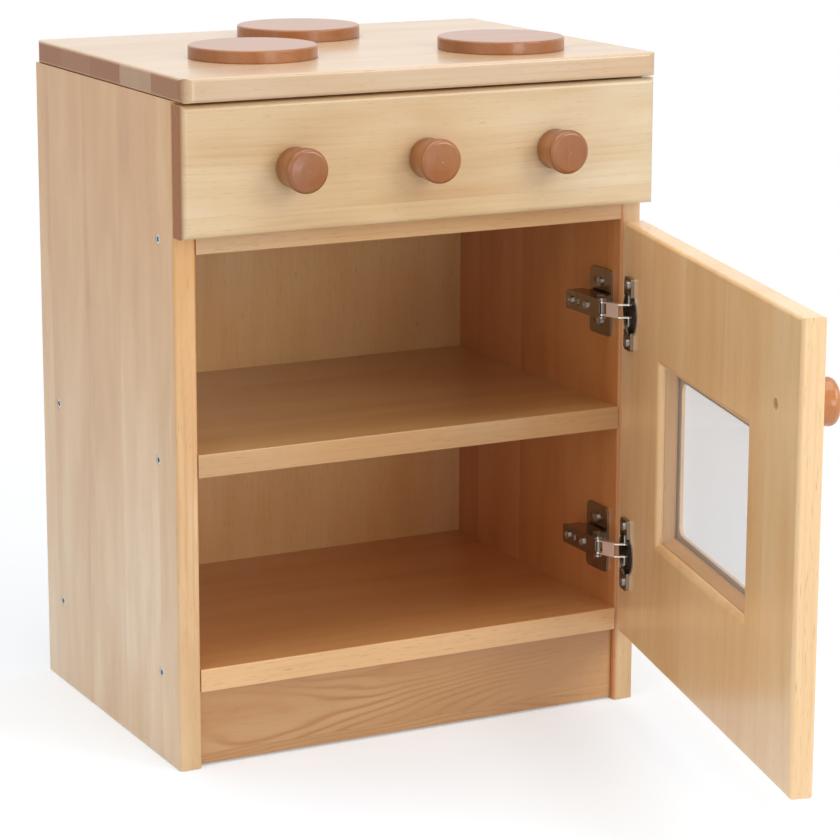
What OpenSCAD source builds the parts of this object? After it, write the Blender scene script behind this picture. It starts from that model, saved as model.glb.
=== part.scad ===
// Wooden toy oven: a board cabinet with hotplates, control knobs and a windowed door on two
// concealed cup hinges. Millimetres. X to the right, Y to the back, Z up. The origin is on the
// floor, midway between the sides, under the middle of the cabinet and its open door.

/* [Cabinet] */
// Width over the two sides
cab_w = 400; // [380:1:460]
// Height from the floor to the top face
cab_h = 530; // [526:1:600]
// Depth of the side boards
cab_d = 282; // [270:1:340]
// Thickness of every board
board_t = 18; // [16:0.5:20]
// Overhang of the top beyond the front edges of the sides
top_overhang = 22; // [20:0.5:32]
// Radius of the top's corners, seen from above
top_corner_r = 9; // [4:0.5:20]
// Radius of the top's eased edges
top_ease_r = 2.5; // [1:0.5:4]
// Radius of the eased front edges of the sides
side_ease_r = 2.5; // [1:0.5:4]
// Radius of the eased edges of the shelves, rail and kickboard
shelf_ease_r = 1; // [0.5:0.25:3]

/* [Front] */
// Height of the control board
fascia_h = 98.5; // [90:0.5:110]
// Gap between the control board and the top
fascia_gap = 2; // [1:0.5:4]
// Radius of the control board's front edges
fascia_r = 4.5; // [2:0.5:6]
// Height of the front rail's upper face above the control board's lower edge
rail_lap = 3.5; // [2:0.5:10]
// Depth of the front rail
rail_d = 60; // [45:1:90]

/* [Shelves and base] */
// Height of the middle shelf's upper face
middle_shelf_z = 245.4; // [200:0.1:300]
// Height of the bottom shelf's upper face
bottom_shelf_z = 78; // [70:0.5:90]
// Distance of the kickboard behind the front edges
kick_setback = 5; // [3:0.5:12]
// Height of the kickboard's lower edge above the floor
kick_z = 1.2; // [0.5:0.1:4]
// Gap at each end of the kickboard
kick_gap = 0.4; // [0.2:0.1:1]

/* [Back panel] */
// Thickness of the back panel
back_t = 6; // [4:0.5:8]
// Depth of its groove in the sides and the top
groove_depth = 6; // [4:0.5:8]
// Distance of the groove from the back edges
groove_inset = 8; // [6:0.5:12]
// Clearance of the back panel in its groove, each side
groove_gap = 0.1; // [0.05:0.05:0.3]

/* [Hotplates] */
// Diameter of a hotplate
plate_d = 99.5; // [80:0.5:110]
// Thickness of a hotplate
plate_t = 10; // [8:0.5:14]
// Radius of a hotplate's upper edge
plate_ease_r = 1.6; // [1:0.1:3]
// Front left hotplate, distance left of the middle
plate_a_x = 95; // [80:1:110]
// Front left hotplate, distance behind the side fronts
plate_a_y = 89; // [70:1:100]
// Rear hotplate, distance right of the middle
plate_b_x = 0; // [-10:1:10]
// Rear hotplate, distance behind the side fronts
plate_b_y = 210; // [200:1:220]
// Front right hotplate, distance right of the middle
plate_c_x = 104.5; // [90:0.5:115]
// Front right hotplate, distance behind the side fronts
plate_c_y = 58.5; // [45:0.5:90]

/* [Control knobs] */
// Distance between neighbouring knobs
knob_pitch = 110; // [80:1:130]
// Distance of the knobs' axes below the top face
knob_drop = 70; // [60:1:80]
// Largest diameter of a knob
knob_d = 33.8; // [28:0.1:40]
// Length of a knob
knob_len = 25.5; // [20:0.5:32]
// Radius of a knob's front rim
knob_rim_r = 4; // [2:0.5:6]
// Gap between a knob and the control board
knob_gap = 0.4; // [0.2:0.1:1]
// Diameter of the screw that a knob turns on
knob_screw_d = 4; // [3:0.1:5]
// Running clearance round that screw, on the radius
knob_screw_play = 0.08; // [0.02:0.01:0.1]

/* [Door] */
// Width of the side's front edge left bare beside the shut door
door_reveal = 1; // [0.5:0.5:3]
// Distance of the door's lower edge below the bottom shelf's upper face
door_lap = 16; // [8:1:18]
// Gap between the door's upper edge and the control board
door_top_gap = 14.5; // [3:0.5:20]
// Gap between the shut door and the cabinet
door_gap = 3.2; // [3.1:0.1:3.6]
// Radius of the door's eased edges
door_ease_r = 3; // [1:0.5:4]
// Opening angle shown
door_open = 76; // [0:1:90]
// Largest diameter of the door knob
pull_d = 34; // [28:0.5:40]
// Length of the door knob
pull_len = 26; // [20:0.5:32]
// Distance of the door knob from the door's free edge
pull_inset = 46.5; // [35:0.5:60]
// Distance of the door knob below the door's upper edge
pull_drop = 68.5; // [40:0.5:120]

/* [Window] */
// Width of the rabbet
rabbet_w = 200; // [160:1:230]
// Height of the rabbet
rabbet_h = 140; // [100:1:160]
// Distance of the window's middle from the door's, towards the hinges
window_shift = 3; // [-5:0.5:8]
// Height of the window's middle above the door's
window_rise = 0.5; // [-10:0.5:10]
// Width of the lip that the pane rests on
lip_w = 10; // [8:0.5:14]
// Thickness of that lip
lip_t = 2.5; // [2:0.1:4]
// Corner radius of the opening in the door's front
window_corner_r = 8; // [4:0.5:14]
// Radius of the rounded edge round the window, inside
window_ease_r = 5.5; // [3:0.5:6]
// Thickness of the pane
pane_t = 2; // [1.5:0.1:3]
// Width of a glazing bead
bead_w = 6.5; // [5:0.1:8]

/* [Hinges] */
// Distance of each hinge from the door's upper or lower edge
hinge_inset = 70; // [60:1:90]
// Diameter of the hinge cup's bore in the door
cup_bore_d = 35; // [34.8:0.1:35.4]
// Depth of that bore
cup_bore_depth = 13.2; // [12.8:0.1:13.8]
// Wood left between the bore and the door's edge
cup_edge = 4; // [3.8:0.1:4.4]
// Radial clearance of the cup in its bore
cup_gap = 0.15; // [0.05:0.05:0.3]
// Running clearance of the pivots, on the radius
pivot_play = 0.06; // [0.02:0.01:0.1]
// Distance between the cup's two screws
cup_screw_pitch = 46; // [45:0.5:48]
// Distance between the mounting plate's two screws
plate_screw_pitch = 32; // [32:1:34]
// Distance of those screws behind the side's front edge
plate_line = 27; // [26:0.5:32]

/* [Screws and dowels] */
// Diameter of the dowels
dowel_d = 8; // [6:1:10]
// Depth of a dowel in the edge of a board
dowel_deep = 18; // [14:1:20]
// Depth of a dowel in the face of a board
dowel_shallow = 12; // [8:0.5:13]
// Distance of the outer dowels from the side board's front and back edges
dowel_inset = 40; // [30:1:60]
// Depth of a hotplate's dowel in the top
plate_dowel_low = 9; // [6:0.5:11]
// Depth of a hotplate's dowel in the hotplate
plate_dowel_high = 6; // [4:0.5:6.5]
// Gap left past each end of a dowel
dowel_end_gap = 0.3; // [0.1:0.1:1]
// Radial clearance of dowels and screws in their holes
fix_gap = 0.1; // [0.05:0.05:0.2]
// Diameter of the heads of the cabinet screws
screw_head_d = 8; // [7:0.5:9]
// Shank diameter of the cabinet screws
screw_d = 4.8; // [4:0.1:5.5]
// Length of the cabinet screws
screw_len = 45; // [40:1:50]
// Distance of the shelves' screws from the side board's front and back edges
screw_inset = 35; // [30:1:60]
// Length of the knobs' screws inside the knobs
knob_screw_grip = 14; // [10:0.5:15]

/* [Hidden] */
$fn = 64;

maple = "#e3cba0";
maple_dark = "#c99d6a";
alder = "#a8683f";
nickel = "#b9b4ad";
zinc = "#9a9a98";
beech = "#d8b98a";

half_w = cab_w / 2;
in_w = half_w - board_t;
under_top = cab_h - board_t;
groove_y = cab_d - groove_inset - back_t;
fascia_z = under_top - fascia_gap - fascia_h;
shelf_d = groove_y - groove_gap;
kick_top = bottom_shelf_z - board_t;
rail_z = fascia_z + rail_lap - board_t;
knob_z = cab_h - knob_drop;
screw_yz = [[rail_d / 2, rail_z + board_t / 2], [screw_inset, middle_shelf_z - board_t / 2],
    [cab_d - screw_inset, middle_shelf_z - board_t / 2], [screw_inset, bottom_shelf_z - board_t / 2],
    [cab_d - screw_inset, bottom_shelf_z - board_t / 2]];
dowel_y = [dowel_inset, cab_d / 2, cab_d - dowel_inset];
fascia_dowel_z = [fascia_z + board_t, fascia_z + fascia_h - board_t];
kick_dowel_x = in_w - 62;
pilot_len = screw_len - board_t + 3;
hotplate_xy = [[-plate_a_x, plate_a_y], [plate_b_x, plate_b_y], [plate_c_x, plate_c_y]];

// Door, shut: its inner face, outer face, hinge edge and height
door_in = -door_gap;
door_out = door_in - board_t;
door_edge = half_w - door_reveal;
door_z = bottom_shelf_z - door_lap;
door_h = fascia_z - door_top_gap - door_z;
hinge_top_z = door_z + door_h - hinge_inset;
hinge_low_z = door_z + hinge_inset;
window_x = window_shift;
window_z = door_z + door_h / 2 + window_rise;
pull_x = -door_edge + pull_inset;
pull_sink = board_t / 2;
pull_head_d = 8.6;
pull_z = door_z + door_h - pull_drop;

// Hinge, shut: pivot in the arm, pivot in the cup, and how far the outer link turns back for
// each degree that the door opens
arm_pivot = [door_edge - 33.5, door_in + 3];
cup_pivot = [door_edge - 10.5, door_in - 2];
link_ratio = -0.58;
link_len = norm(cup_pivot - arm_pivot);
link_shut = atan2(cup_pivot.y - arm_pivot.y, cup_pivot.x - arm_pivot.x);
link_now = link_shut + link_ratio * door_open;
cup_pivot_now = arm_pivot + link_len * [cos(link_now), sin(link_now)];

// The origin lies midway between the cabinet's back edges and the open door's foremost corner;
// every piece is drawn from the plane of the sides' front edges and set back by this much
door_corner = [-door_edge + door_ease_r, door_out + door_ease_r] - cup_pivot;
door_reach = cup_pivot_now.y + sin(door_open) * door_corner.x + cos(door_open) * door_corner.y - door_ease_r;
front_y = -(cab_d + door_reach) / 2;

// Hinge cup, its ears, the arm and the links
cup_x = door_edge - cup_edge - cup_bore_d / 2;
cup_r = cup_bore_d / 2 - cup_gap;
cup_wall = 0.8;
cup_floor = door_in - cup_bore_depth + 0.2;
ear_z = [11, 29];
ear_w = 18;
ear_t = 2.75;
cup_screw_s = board_t + 3;
wood_screw_d = 3.5;
wood_screw_grip = 11.7;
mount_t = 2;
plate_size = [32, 54];
plate_y = plate_line - plate_size.x / 2;
block_y = plate_y + 3;
block_len = 32;
arm_screw_y = [block_y + 4.3, block_y + 27.7];
arm_screw_d = 4;
arm_end = block_y + block_len + 3.5;
arm_slot_y = block_y + 14.7;
cheek_t = 1.2;
arm_face = arm_pivot.x - 3.9;
arm_t = 1.3;
arm_half = 7.8;
arm_front = door_in + 1.6;
block_half = 6.4;
pin_r = 1.4;
stub_r = 1.2;
link_side_in = 4.5;
link_side_out = 5.7;

// Shared shapes

// Box with the four edges along Z rounded
module prism_z(size, r) {
    translate([r, 0, 0]) cube([size.x - 2 * r, size.y, size.z]);
    translate([0, r, 0]) cube([size.x, size.y - 2 * r, size.z]);
    for (x = [r, size.x - r], y = [r, size.y - r])
        translate([x, y, 0]) cylinder(h = size.z, r = r);
}

// Box with the four edges along X rounded
module prism_x(size, r) {
    translate([0, r, 0]) cube([size.x, size.y - 2 * r, size.z]);
    translate([0, 0, r]) cube([size.x, size.y, size.z - 2 * r]);
    for (y = [r, size.y - r], z = [r, size.z - r])
        translate([0, y, z]) rotate([0, 90, 0]) cylinder(h = size.x, r = r);
}

// Box with the four edges along Y rounded
module prism_y(size, r) {
    translate([r, 0, 0]) cube([size.x - 2 * r, size.y, size.z]);
    translate([0, 0, r]) cube([size.x, size.y, size.z - 2 * r]);
    for (x = [r, size.x - r], z = [r, size.z - r])
        translate([x, 0, z]) rotate([-90, 0, 0]) cylinder(h = size.y, r = r);
}

// Board whose front edges, above, below, left and right, are rounded
module front_eased(size, r) {
    deep = [size.x, size.y + 2 * r, size.z];
    intersection() {
        cube(size);
        prism_x(deep, r);
        prism_z(deep, r);
    }
}

// Board lying flat whose long front edges are rounded
module shelf_board(size, r) {
    intersection() {
        cube(size);
        prism_x([size.x, size.y + 2 * r, size.z], r);
    }
}

// Cylinder along +X or along +Y from a point
module rod_x(p, d, len) {
    translate(p) rotate([0, 90, 0]) cylinder(h = len, d = d);
}

module rod_y(p, d, len) {
    translate(p) rotate([-90, 0, 0]) cylinder(h = len, d = d);
}

module rod_z(p, d, len) {
    translate(p) cylinder(h = len, d = d);
}

// Points of a quarter circle from angle a to b
function arc(c, r, a, b, n) = [for (i = [0 : n]) c + r * [cos(a + (b - a) * i / n), sin(a + (b - a) * i / n)]];

// Turned knob standing on z = 0, waisted near its foot
module turned_knob(d, len, rim_r, dome) {
    rim = arc([d / 2 - rim_r, len - dome - rim_r], rim_r, 0, 78, 5);
    rotate_extrude()
        polygon(concat([[0, 0], [d * 0.452, 0], [d * 0.458, 1.2], [d * 0.448, len * 0.22],
            [d * 0.46, len * 0.42], [d * 0.488, len * 0.6]], rim, [[d * 0.2, len - dome * 0.25], [0, len]]));
}

// The same with a blind hole for its screw
module bored_knob(d, len, rim_r, dome) {
    difference() {
        turned_knob(d, len, rim_r, dome);
        translate([0, 0, -1]) cylinder(h = knob_screw_grip + 1.5, d = knob_screw_d + 2 * fix_gap);
    }
}

// Cabinet pieces are drawn from the plane of the sides' front edges
module placed() {
    translate([0, front_y, 0]) children();
}

// Door pieces are drawn shut and carried to where the hinges bring them
module carried() {
    placed() translate([cup_pivot_now.x, cup_pivot_now.y, 0]) rotate([0, 0, door_open])
        translate([-cup_pivot.x, -cup_pivot.y, 0]) children();
}

// Cabinet

module top_panel() {
    size = [cab_w, cab_d + top_overhang, board_t];
    color(maple) placed() difference() {
        translate([-half_w, -top_overhang, under_top]) intersection() {
            prism_z(size, top_corner_r);
            prism_x(size, top_ease_r);
            prism_y(size, top_ease_r);
        }
        translate([-in_w - groove_depth, groove_y, under_top - 1])
            cube([2 * (in_w + groove_depth), back_t, groove_depth + 1]);
        for (x = [-1, 1], y = dowel_y)
            rod_z([x * (half_w - board_t / 2), y, under_top - 1], dowel_d + 2 * fix_gap,
                dowel_shallow + dowel_end_gap + 1);
        for (p = hotplate_xy)
            rod_z([p.x, p.y, cab_h - plate_dowel_low - dowel_end_gap], dowel_d + 2 * fix_gap, board_t);
    }
}

// Left side board, outer face at -X
module side_board() {
    color(maple_dark) placed() difference() {
        translate([-half_w, 0, 0]) intersection() {
            cube([board_t, cab_d, under_top]);
            prism_z([board_t, cab_d + 2 * side_ease_r, under_top], side_ease_r);
        }
        translate([-in_w - groove_depth, groove_y, kick_top - 20])
            cube([groove_depth + 1, back_t, under_top]);
        for (y = dowel_y)
            rod_z([-half_w + board_t / 2, y, under_top - dowel_deep - dowel_end_gap], dowel_d + 2 * fix_gap,
                dowel_deep + 2);
        for (z = fascia_dowel_z)
            rod_y([-half_w + board_t / 2, -1, z], dowel_d + 2 * fix_gap, dowel_deep + dowel_end_gap + 1);
        for (p = screw_yz) {
            rod_x([-half_w - 1, p.x, p.y], screw_d + 2 * fix_gap, board_t + 2);
            rod_x([-half_w - 1, p.x, p.y], screw_head_d + 4 * fix_gap, 4.3);
        }
    }
}

module side_left() {
    side_board();
}

module side_right() {
    difference() {
        mirror([1, 0, 0]) side_board();
        placed() for (z = [hinge_top_z, hinge_low_z], s = [-1, 1])
            rod_x([in_w - 1, plate_line, z + s * plate_screw_pitch / 2], wood_screw_d + 2 * fix_gap,
                wood_screw_grip + 1.8);
    }
}

module back_panel() {
    color(maple_dark) placed() translate([-in_w - groove_depth + groove_gap, groove_y + groove_gap, kick_top])
        cube([2 * (in_w + groove_depth - groove_gap), back_t - 2 * groove_gap,
            under_top + groove_depth - groove_gap - kick_top]);
}

module control_fascia() {
    color(maple) placed() difference() {
        translate([-half_w, -board_t, fascia_z]) front_eased([cab_w, board_t, fascia_h], fascia_r);
        for (x = [-1, 0, 1])
            rod_y([x * knob_pitch, -board_t - 1, knob_z], knob_screw_d + 2 * knob_screw_play, board_t + 2);
        for (x = [-1, 1], z = fascia_dowel_z)
            rod_y([x * (half_w - board_t / 2), -dowel_shallow - dowel_end_gap, z], dowel_d + 2 * fix_gap,
                dowel_shallow + 2);
    }
}

// Pilot holes for the cabinet screws in the ends of a board
module end_pilots(rows) {
    for (i = rows, s = [-1, 1])
        translate([s > 0 ? in_w - pilot_len : -in_w - 1, screw_yz[i].x, screw_yz[i].y]) rotate([0, 90, 0])
            cylinder(h = pilot_len + 1, d = screw_d + 2 * fix_gap);
}

module front_rail() {
    color(maple) placed() difference() {
        translate([-in_w, 0, rail_z]) shelf_board([2 * in_w, rail_d, board_t], shelf_ease_r);
        end_pilots([0]);
    }
}

module middle_shelf() {
    color(maple_dark) placed() difference() {
        translate([-in_w, 0, middle_shelf_z - board_t])
            shelf_board([2 * in_w, shelf_d, board_t], shelf_ease_r);
        end_pilots([1, 2]);
    }
}

module bottom_shelf() {
    color(maple_dark) placed() difference() {
        translate([-in_w, 0, kick_top]) shelf_board([2 * in_w, shelf_d, board_t], shelf_ease_r);
        end_pilots([3, 4]);
        for (x = [-1, 1])
            rod_z([x * kick_dowel_x, kick_setback + board_t / 2, kick_top - 1], dowel_d + 2 * fix_gap,
                dowel_shallow + dowel_end_gap + 1);
    }
}

module kickboard() {
    color(maple_dark) placed() difference() {
        translate([-in_w + kick_gap, kick_setback, kick_z])
            shelf_board([2 * (in_w - kick_gap), board_t, kick_top - kick_z], shelf_ease_r);
        for (x = [-1, 1])
            rod_z([x * kick_dowel_x, kick_setback + board_t / 2, kick_top - dowel_deep - dowel_end_gap],
                dowel_d + 2 * fix_gap, dowel_deep + 2);
    }
}

// Socket-head screw along +X, head outside
module cabinet_screw() {
    color(zinc) difference() {
        union() {
            rod_x([0, 0, 0], screw_head_d, 3);
            rod_x([2, 0, 0], screw_d, screw_len - 2);
        }
        translate([-1, 0, 0]) rotate([0, 90, 0]) cylinder(h = 3.2, d = 4.6, $fn = 6);
    }
}

module screws_left() {
    placed() for (p = screw_yz)
        translate([-half_w + 0.2, p.x, p.y]) cabinet_screw();
}

module screws_right() {
    mirror([1, 0, 0]) screws_left();
}

// Dowel along +Z with chamfered ends
module dowel(len) {
    color(beech) {
        cylinder(h = 1, d1 = dowel_d - 1.6, d2 = dowel_d);
        translate([0, 0, 1]) cylinder(h = len - 2, d = dowel_d);
        translate([0, 0, len - 1]) cylinder(h = 1, d1 = dowel_d, d2 = dowel_d - 1.6);
    }
}

module top_dowels() {
    placed() for (x = [-1, 1], y = dowel_y)
        translate([x * (half_w - board_t / 2), y, under_top - dowel_deep]) dowel(dowel_deep + dowel_shallow);
}

module fascia_dowels() {
    placed() for (x = [-1, 1], z = fascia_dowel_z)
        translate([x * (half_w - board_t / 2), -dowel_shallow, z]) rotate([-90, 0, 0])
            dowel(dowel_deep + dowel_shallow);
}

module kick_dowels() {
    placed() for (x = [-1, 1])
        translate([x * kick_dowel_x, kick_setback + board_t / 2, kick_top - dowel_deep])
            dowel(dowel_deep + dowel_shallow);
}

// Hotplates

module hotplate(p) {
    top = arc([plate_d / 2 - plate_ease_r, plate_t - plate_ease_r], plate_ease_r, 0, 90, 5);
    color(alder) placed() difference() {
        translate([p.x, p.y, cab_h]) rotate_extrude()
            polygon(concat([[0, 0], [plate_d / 2 - 0.5, 0], [plate_d / 2, 0.5]], top, [[0, plate_t]]));
        rod_z([p.x, p.y, cab_h - 1], dowel_d + 2 * fix_gap, plate_dowel_high + dowel_end_gap + 1);
    }
}

module hotplate_left() {
    hotplate(hotplate_xy[0]);
}

module hotplate_rear() {
    hotplate(hotplate_xy[1]);
}

module hotplate_right() {
    hotplate(hotplate_xy[2]);
}

module hotplate_dowels() {
    placed() for (p = hotplate_xy)
        translate([p.x, p.y, cab_h - plate_dowel_low]) dowel(plate_dowel_low + plate_dowel_high);
}

// Control knobs

module knob(i) {
    color(alder) placed() translate([i * knob_pitch, -board_t - knob_gap, knob_z]) rotate([90, 0, 0])
        bored_knob(knob_d, knob_len, knob_rim_r, 0.6);
}

// Machine screw from behind the control board into the knob
module knob_screw(i) {
    color(zinc) placed() translate([i * knob_pitch, 0, knob_z]) difference() {
        union() {
            rod_y([0, -board_t - knob_gap - knob_screw_grip, 0], knob_screw_d,
                board_t + knob_gap + knob_screw_grip + 1.4);
            rod_y([0, 1.2, 0], 2 * knob_screw_d, 2.4);
        }
        translate([0, 2.2, 0]) rotate([-90, 0, 0]) cylinder(h = 3, d = 3.4, $fn = 6);
    }
}

module knob_washer(i) {
    color(zinc) placed() translate([i * knob_pitch, 0.2, knob_z]) rotate([-90, 0, 0]) difference() {
        cylinder(h = 1, d = 3 * knob_screw_d);
        translate([0, 0, -1]) cylinder(h = 3, d = knob_screw_d + 2 * fix_gap);
    }
}

module knob_left() {
    knob(-1);
}

module knob_middle() {
    knob(0);
}

module knob_right() {
    knob(1);
}

module knob_screw_left() {
    knob_screw(-1);
}

module knob_screw_middle() {
    knob_screw(0);
}

module knob_screw_right() {
    knob_screw(1);
}

module knob_washer_left() {
    knob_washer(-1);
}

module knob_washer_middle() {
    knob_washer(0);
}

module knob_washer_right() {
    knob_washer(1);
}

// Door

// Rounding of the rabbet's edge at the inner face: one direction of it, length along Z
module window_flare(w, len) {
    r = window_ease_r;
    translate([0, door_in, -len / 2]) linear_extrude(len) difference() {
        translate([-w / 2 - r, -r]) square([w + 2 * r, r + 1]);
        for (s = [-1, 1])
            translate([s * (w / 2 + r), -r]) circle(r = r);
    }
}

module door_panel() {
    size = [2 * door_edge, board_t, door_h];
    color(maple) carried() difference() {
        translate([-door_edge, door_out, door_z]) intersection() {
            prism_z(size, door_ease_r);
            prism_x(size, door_ease_r);
        }
        translate([window_x - rabbet_w / 2, door_out + lip_t, window_z - rabbet_h / 2])
            cube([rabbet_w, board_t, rabbet_h]);
        translate([window_x, 0, window_z]) intersection() {
            window_flare(rabbet_w, rabbet_h + 20);
            rotate([0, 90, 0]) window_flare(rabbet_h, rabbet_w + 20);
        }
        translate([window_x - rabbet_w / 2 + lip_w, door_out - 1, window_z - rabbet_h / 2 + lip_w])
            prism_y([rabbet_w - 2 * lip_w, board_t, rabbet_h - 2 * lip_w], window_corner_r);
        for (z = [hinge_top_z, hinge_low_z]) {
            rod_y([cup_x, door_in - cup_bore_depth, z], cup_bore_d, cup_bore_depth + 2);
            for (s = [-1, 1])
                rod_y([door_edge - cup_screw_s, door_in - wood_screw_grip + 0.7, z + s * cup_screw_pitch / 2],
                    wood_screw_d + 2 * fix_gap, wood_screw_grip);
        }
        rod_y([pull_x, door_out - 1, pull_z], knob_screw_d + 2 * fix_gap, board_t + 2);
        rod_y([pull_x, door_in - pull_sink, pull_z], pull_head_d, pull_sink + 1);
    }
}

module window_pane() {
    color([0.9, 0.92, 0.93, 0.5]) carried()
        translate([window_x - rabbet_w / 2 + 0.4, door_out + lip_t, window_z - rabbet_h / 2 + 0.4])
            cube([rabbet_w - 0.8, pane_t, rabbet_h - 0.8]);
}

// Glazing bead along the lower edge of a frame w by h, mitred at both ends. It lies with its
// back against the wall at z = 0 and its foot on the pane at y = 0.
module bead(w) {
    rise = board_t - lip_t - pane_t - window_ease_r;
    color(maple) intersection() {
        translate([-w / 2, 0, 0]) rotate([90, 0, 90]) linear_extrude(w)
            polygon([[0, 0.1], [0, bead_w], [1.1, bead_w], [1.1, bead_w - 0.6], [rise, 0.8], [rise, 0.1]]);
        translate([0, rise + 1, 0]) rotate([90, 0, 0]) linear_extrude(rise + 2)
            polygon([[-w / 2 + 0.1, 0.05], [w / 2 - 0.1, 0.05], [w / 2 - bead_w - 1, bead_w + 1.05],
                [-w / 2 + bead_w + 1, bead_w + 1.05]]);
    }
}

module bead_at(turn, across, along) {
    carried() translate([window_x, door_out + lip_t + pane_t, window_z]) rotate([0, turn, 0])
        translate([0, 0, -across / 2]) bead(along);
}

module bead_bottom() {
    bead_at(0, rabbet_h, rabbet_w);
}

module bead_top() {
    bead_at(180, rabbet_h, rabbet_w);
}

module bead_hinge_side() {
    bead_at(-90, rabbet_w, rabbet_h);
}

module bead_knob_side() {
    bead_at(90, rabbet_w, rabbet_h);
}

module door_knob() {
    color(alder) carried() translate([pull_x, door_out, pull_z]) rotate([90, 0, 0])
        bored_knob(pull_d, pull_len, 5, 1.8);
}

module door_knob_screw() {
    color(zinc) carried() translate([pull_x, 0, pull_z]) difference() {
        union() {
            rod_y([0, door_out - knob_screw_grip, 0], knob_screw_d,
                board_t - pull_sink + knob_screw_grip + 0.5);
            rod_y([0, door_in - pull_sink, 0], pull_head_d - 1.2, 2.6);
        }
        translate([0, door_in - pull_sink + 1, 0]) rotate([-90, 0, 0]) cylinder(h = 3, d = 3.4, $fn = 6);
    }
}

// Hinges, drawn at height 0

// Plate on the side board with the block that carries the arm
module mounting_plate() {
    color(nickel) placed() difference() {
        union() {
            translate([in_w - mount_t, plate_y, -plate_size.y / 2])
                prism_x([mount_t, plate_size.x, plate_size.y], 4);
            translate([arm_face + arm_t, block_y, -block_half])
                cube([in_w - arm_face - arm_t, block_len, 2 * block_half]);
        }
        for (s = [-1, 1]) {
            rod_x([in_w - mount_t - 1, plate_line, s * plate_screw_pitch / 2], wood_screw_d + 2 * fix_gap,
                mount_t + 2);
            rod_x([in_w - mount_t - 1, plate_line + 8, s * plate_screw_pitch / 2], 4.5, mount_t + 2);
        }
        for (y = arm_screw_y)
            rod_x([arm_face, y, 0], arm_screw_d + 2 * fix_gap, 12);
    }
}

// Pan-head screw along +X, head before x = 0
module pan_screw(head_d, head_h, d, len) {
    color(zinc) difference() {
        union() {
            rod_x([-head_h, 0, 0], head_d, head_h);
            rod_x([-0.5, 0, 0], d, len + 0.5);
        }
        translate([-head_h - 1, -0.45, -head_d * 0.3]) cube([1.7, 0.9, head_d * 0.6]);
        translate([-head_h - 1, -head_d * 0.3, -0.45]) cube([1.7, head_d * 0.6, 0.9]);
    }
}

module plate_screws() {
    placed() for (s = [-1, 1])
        translate([in_w - mount_t, plate_line, s * plate_screw_pitch / 2])
            pan_screw(6.6, 1.6, wood_screw_d, wood_screw_grip + mount_t + 0.3);
}

// Channel that slides over the block; its cheeks hold the outer link's pin
module arm() {
    color(nickel) placed() difference() {
        union() {
            translate([arm_face, arm_front, -arm_half])
                prism_x([arm_t, arm_end - arm_front, 2 * arm_half], 2.5);
            for (s = [-1, 1]) {
                translate([arm_face, block_y, s > 0 ? arm_half - cheek_t : -arm_half])
                    cube([14, block_len, cheek_t]);
                translate([arm_face, arm_pivot.y + 1, s > 0 ? arm_half - cheek_t : -arm_half])
                    cube([6.9, block_y - arm_pivot.y, cheek_t]);
                translate([arm_pivot.x, arm_pivot.y, s > 0 ? arm_half - cheek_t : -arm_half])
                    cylinder(h = cheek_t, r = 3);
            }
        }
        translate([arm_pivot.x, arm_pivot.y, -20]) cylinder(h = 40, r = pin_r + pivot_play);
        for (y = arm_screw_y)
            rod_x([arm_face - 1, y, 0], arm_screw_d + 2 * fix_gap, arm_t + 2);
        translate([arm_face - 1, arm_slot_y, -3]) prism_x([arm_t + 2, 4, 6], 1.9);
    }
}

module arm_screws() {
    placed() for (y = arm_screw_y)
        translate([arm_face, y, 0]) pan_screw(6.4, 1.5, arm_screw_d, 11);
}

// Rivet through both cheeks
module arm_pin() {
    color(nickel) placed() translate([arm_pivot.x, arm_pivot.y, 0]) {
        translate([0, 0, -arm_half - 0.6]) cylinder(h = 2 * arm_half + 1.2, r = pin_r);
        for (s = [-1, 1])
            translate([0, 0, s > 0 ? arm_half : -arm_half - 0.6]) cylinder(h = 0.6, r = 2.4);
    }
}

// Flat strap from p to q with round ends
module strap(p, q, w, h) {
    run = q - p;
    translate([p.x, p.y, 0]) rotate([0, 0, atan2(run.y, run.x)])
        translate([0, -w / 2, 0]) cube([norm(run), w, h]);
    for (e = [p, q])
        translate([e.x, e.y, 0]) cylinder(h = h, d = w);
}

// Outer link: two cranked side plates joined by a web; the crank passes round the door's edge
module outer_link() {
    elbow = [17, -3.7];
    lean = atan2(elbow.y, elbow.x);
    side_t = link_side_out - link_side_in;
    color(nickel) placed() translate([arm_pivot.x, arm_pivot.y, 0]) rotate([0, 0, link_now]) difference() {
        union() {
            for (z = [link_side_in, -link_side_out]) translate([0, 0, z]) {
                strap([0, 0], elbow, 3.4, side_t);
                strap(elbow, [link_len, 0], 3.4, side_t);
                cylinder(h = side_t, r = 2.3);
                translate([link_len, 0, 0]) cylinder(h = side_t, r = 2.2);
            }
            rotate([0, 0, lean]) translate([5.5, -1.7, -link_side_out]) cube([12, 1.2, 2 * link_side_out]);
        }
        translate([0, 0, -20]) cylinder(h = 40, r = pin_r + pivot_play);
        translate([link_len, 0, -20]) cylinder(h = 40, r = stub_r + pivot_play);
    }
}

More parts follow.
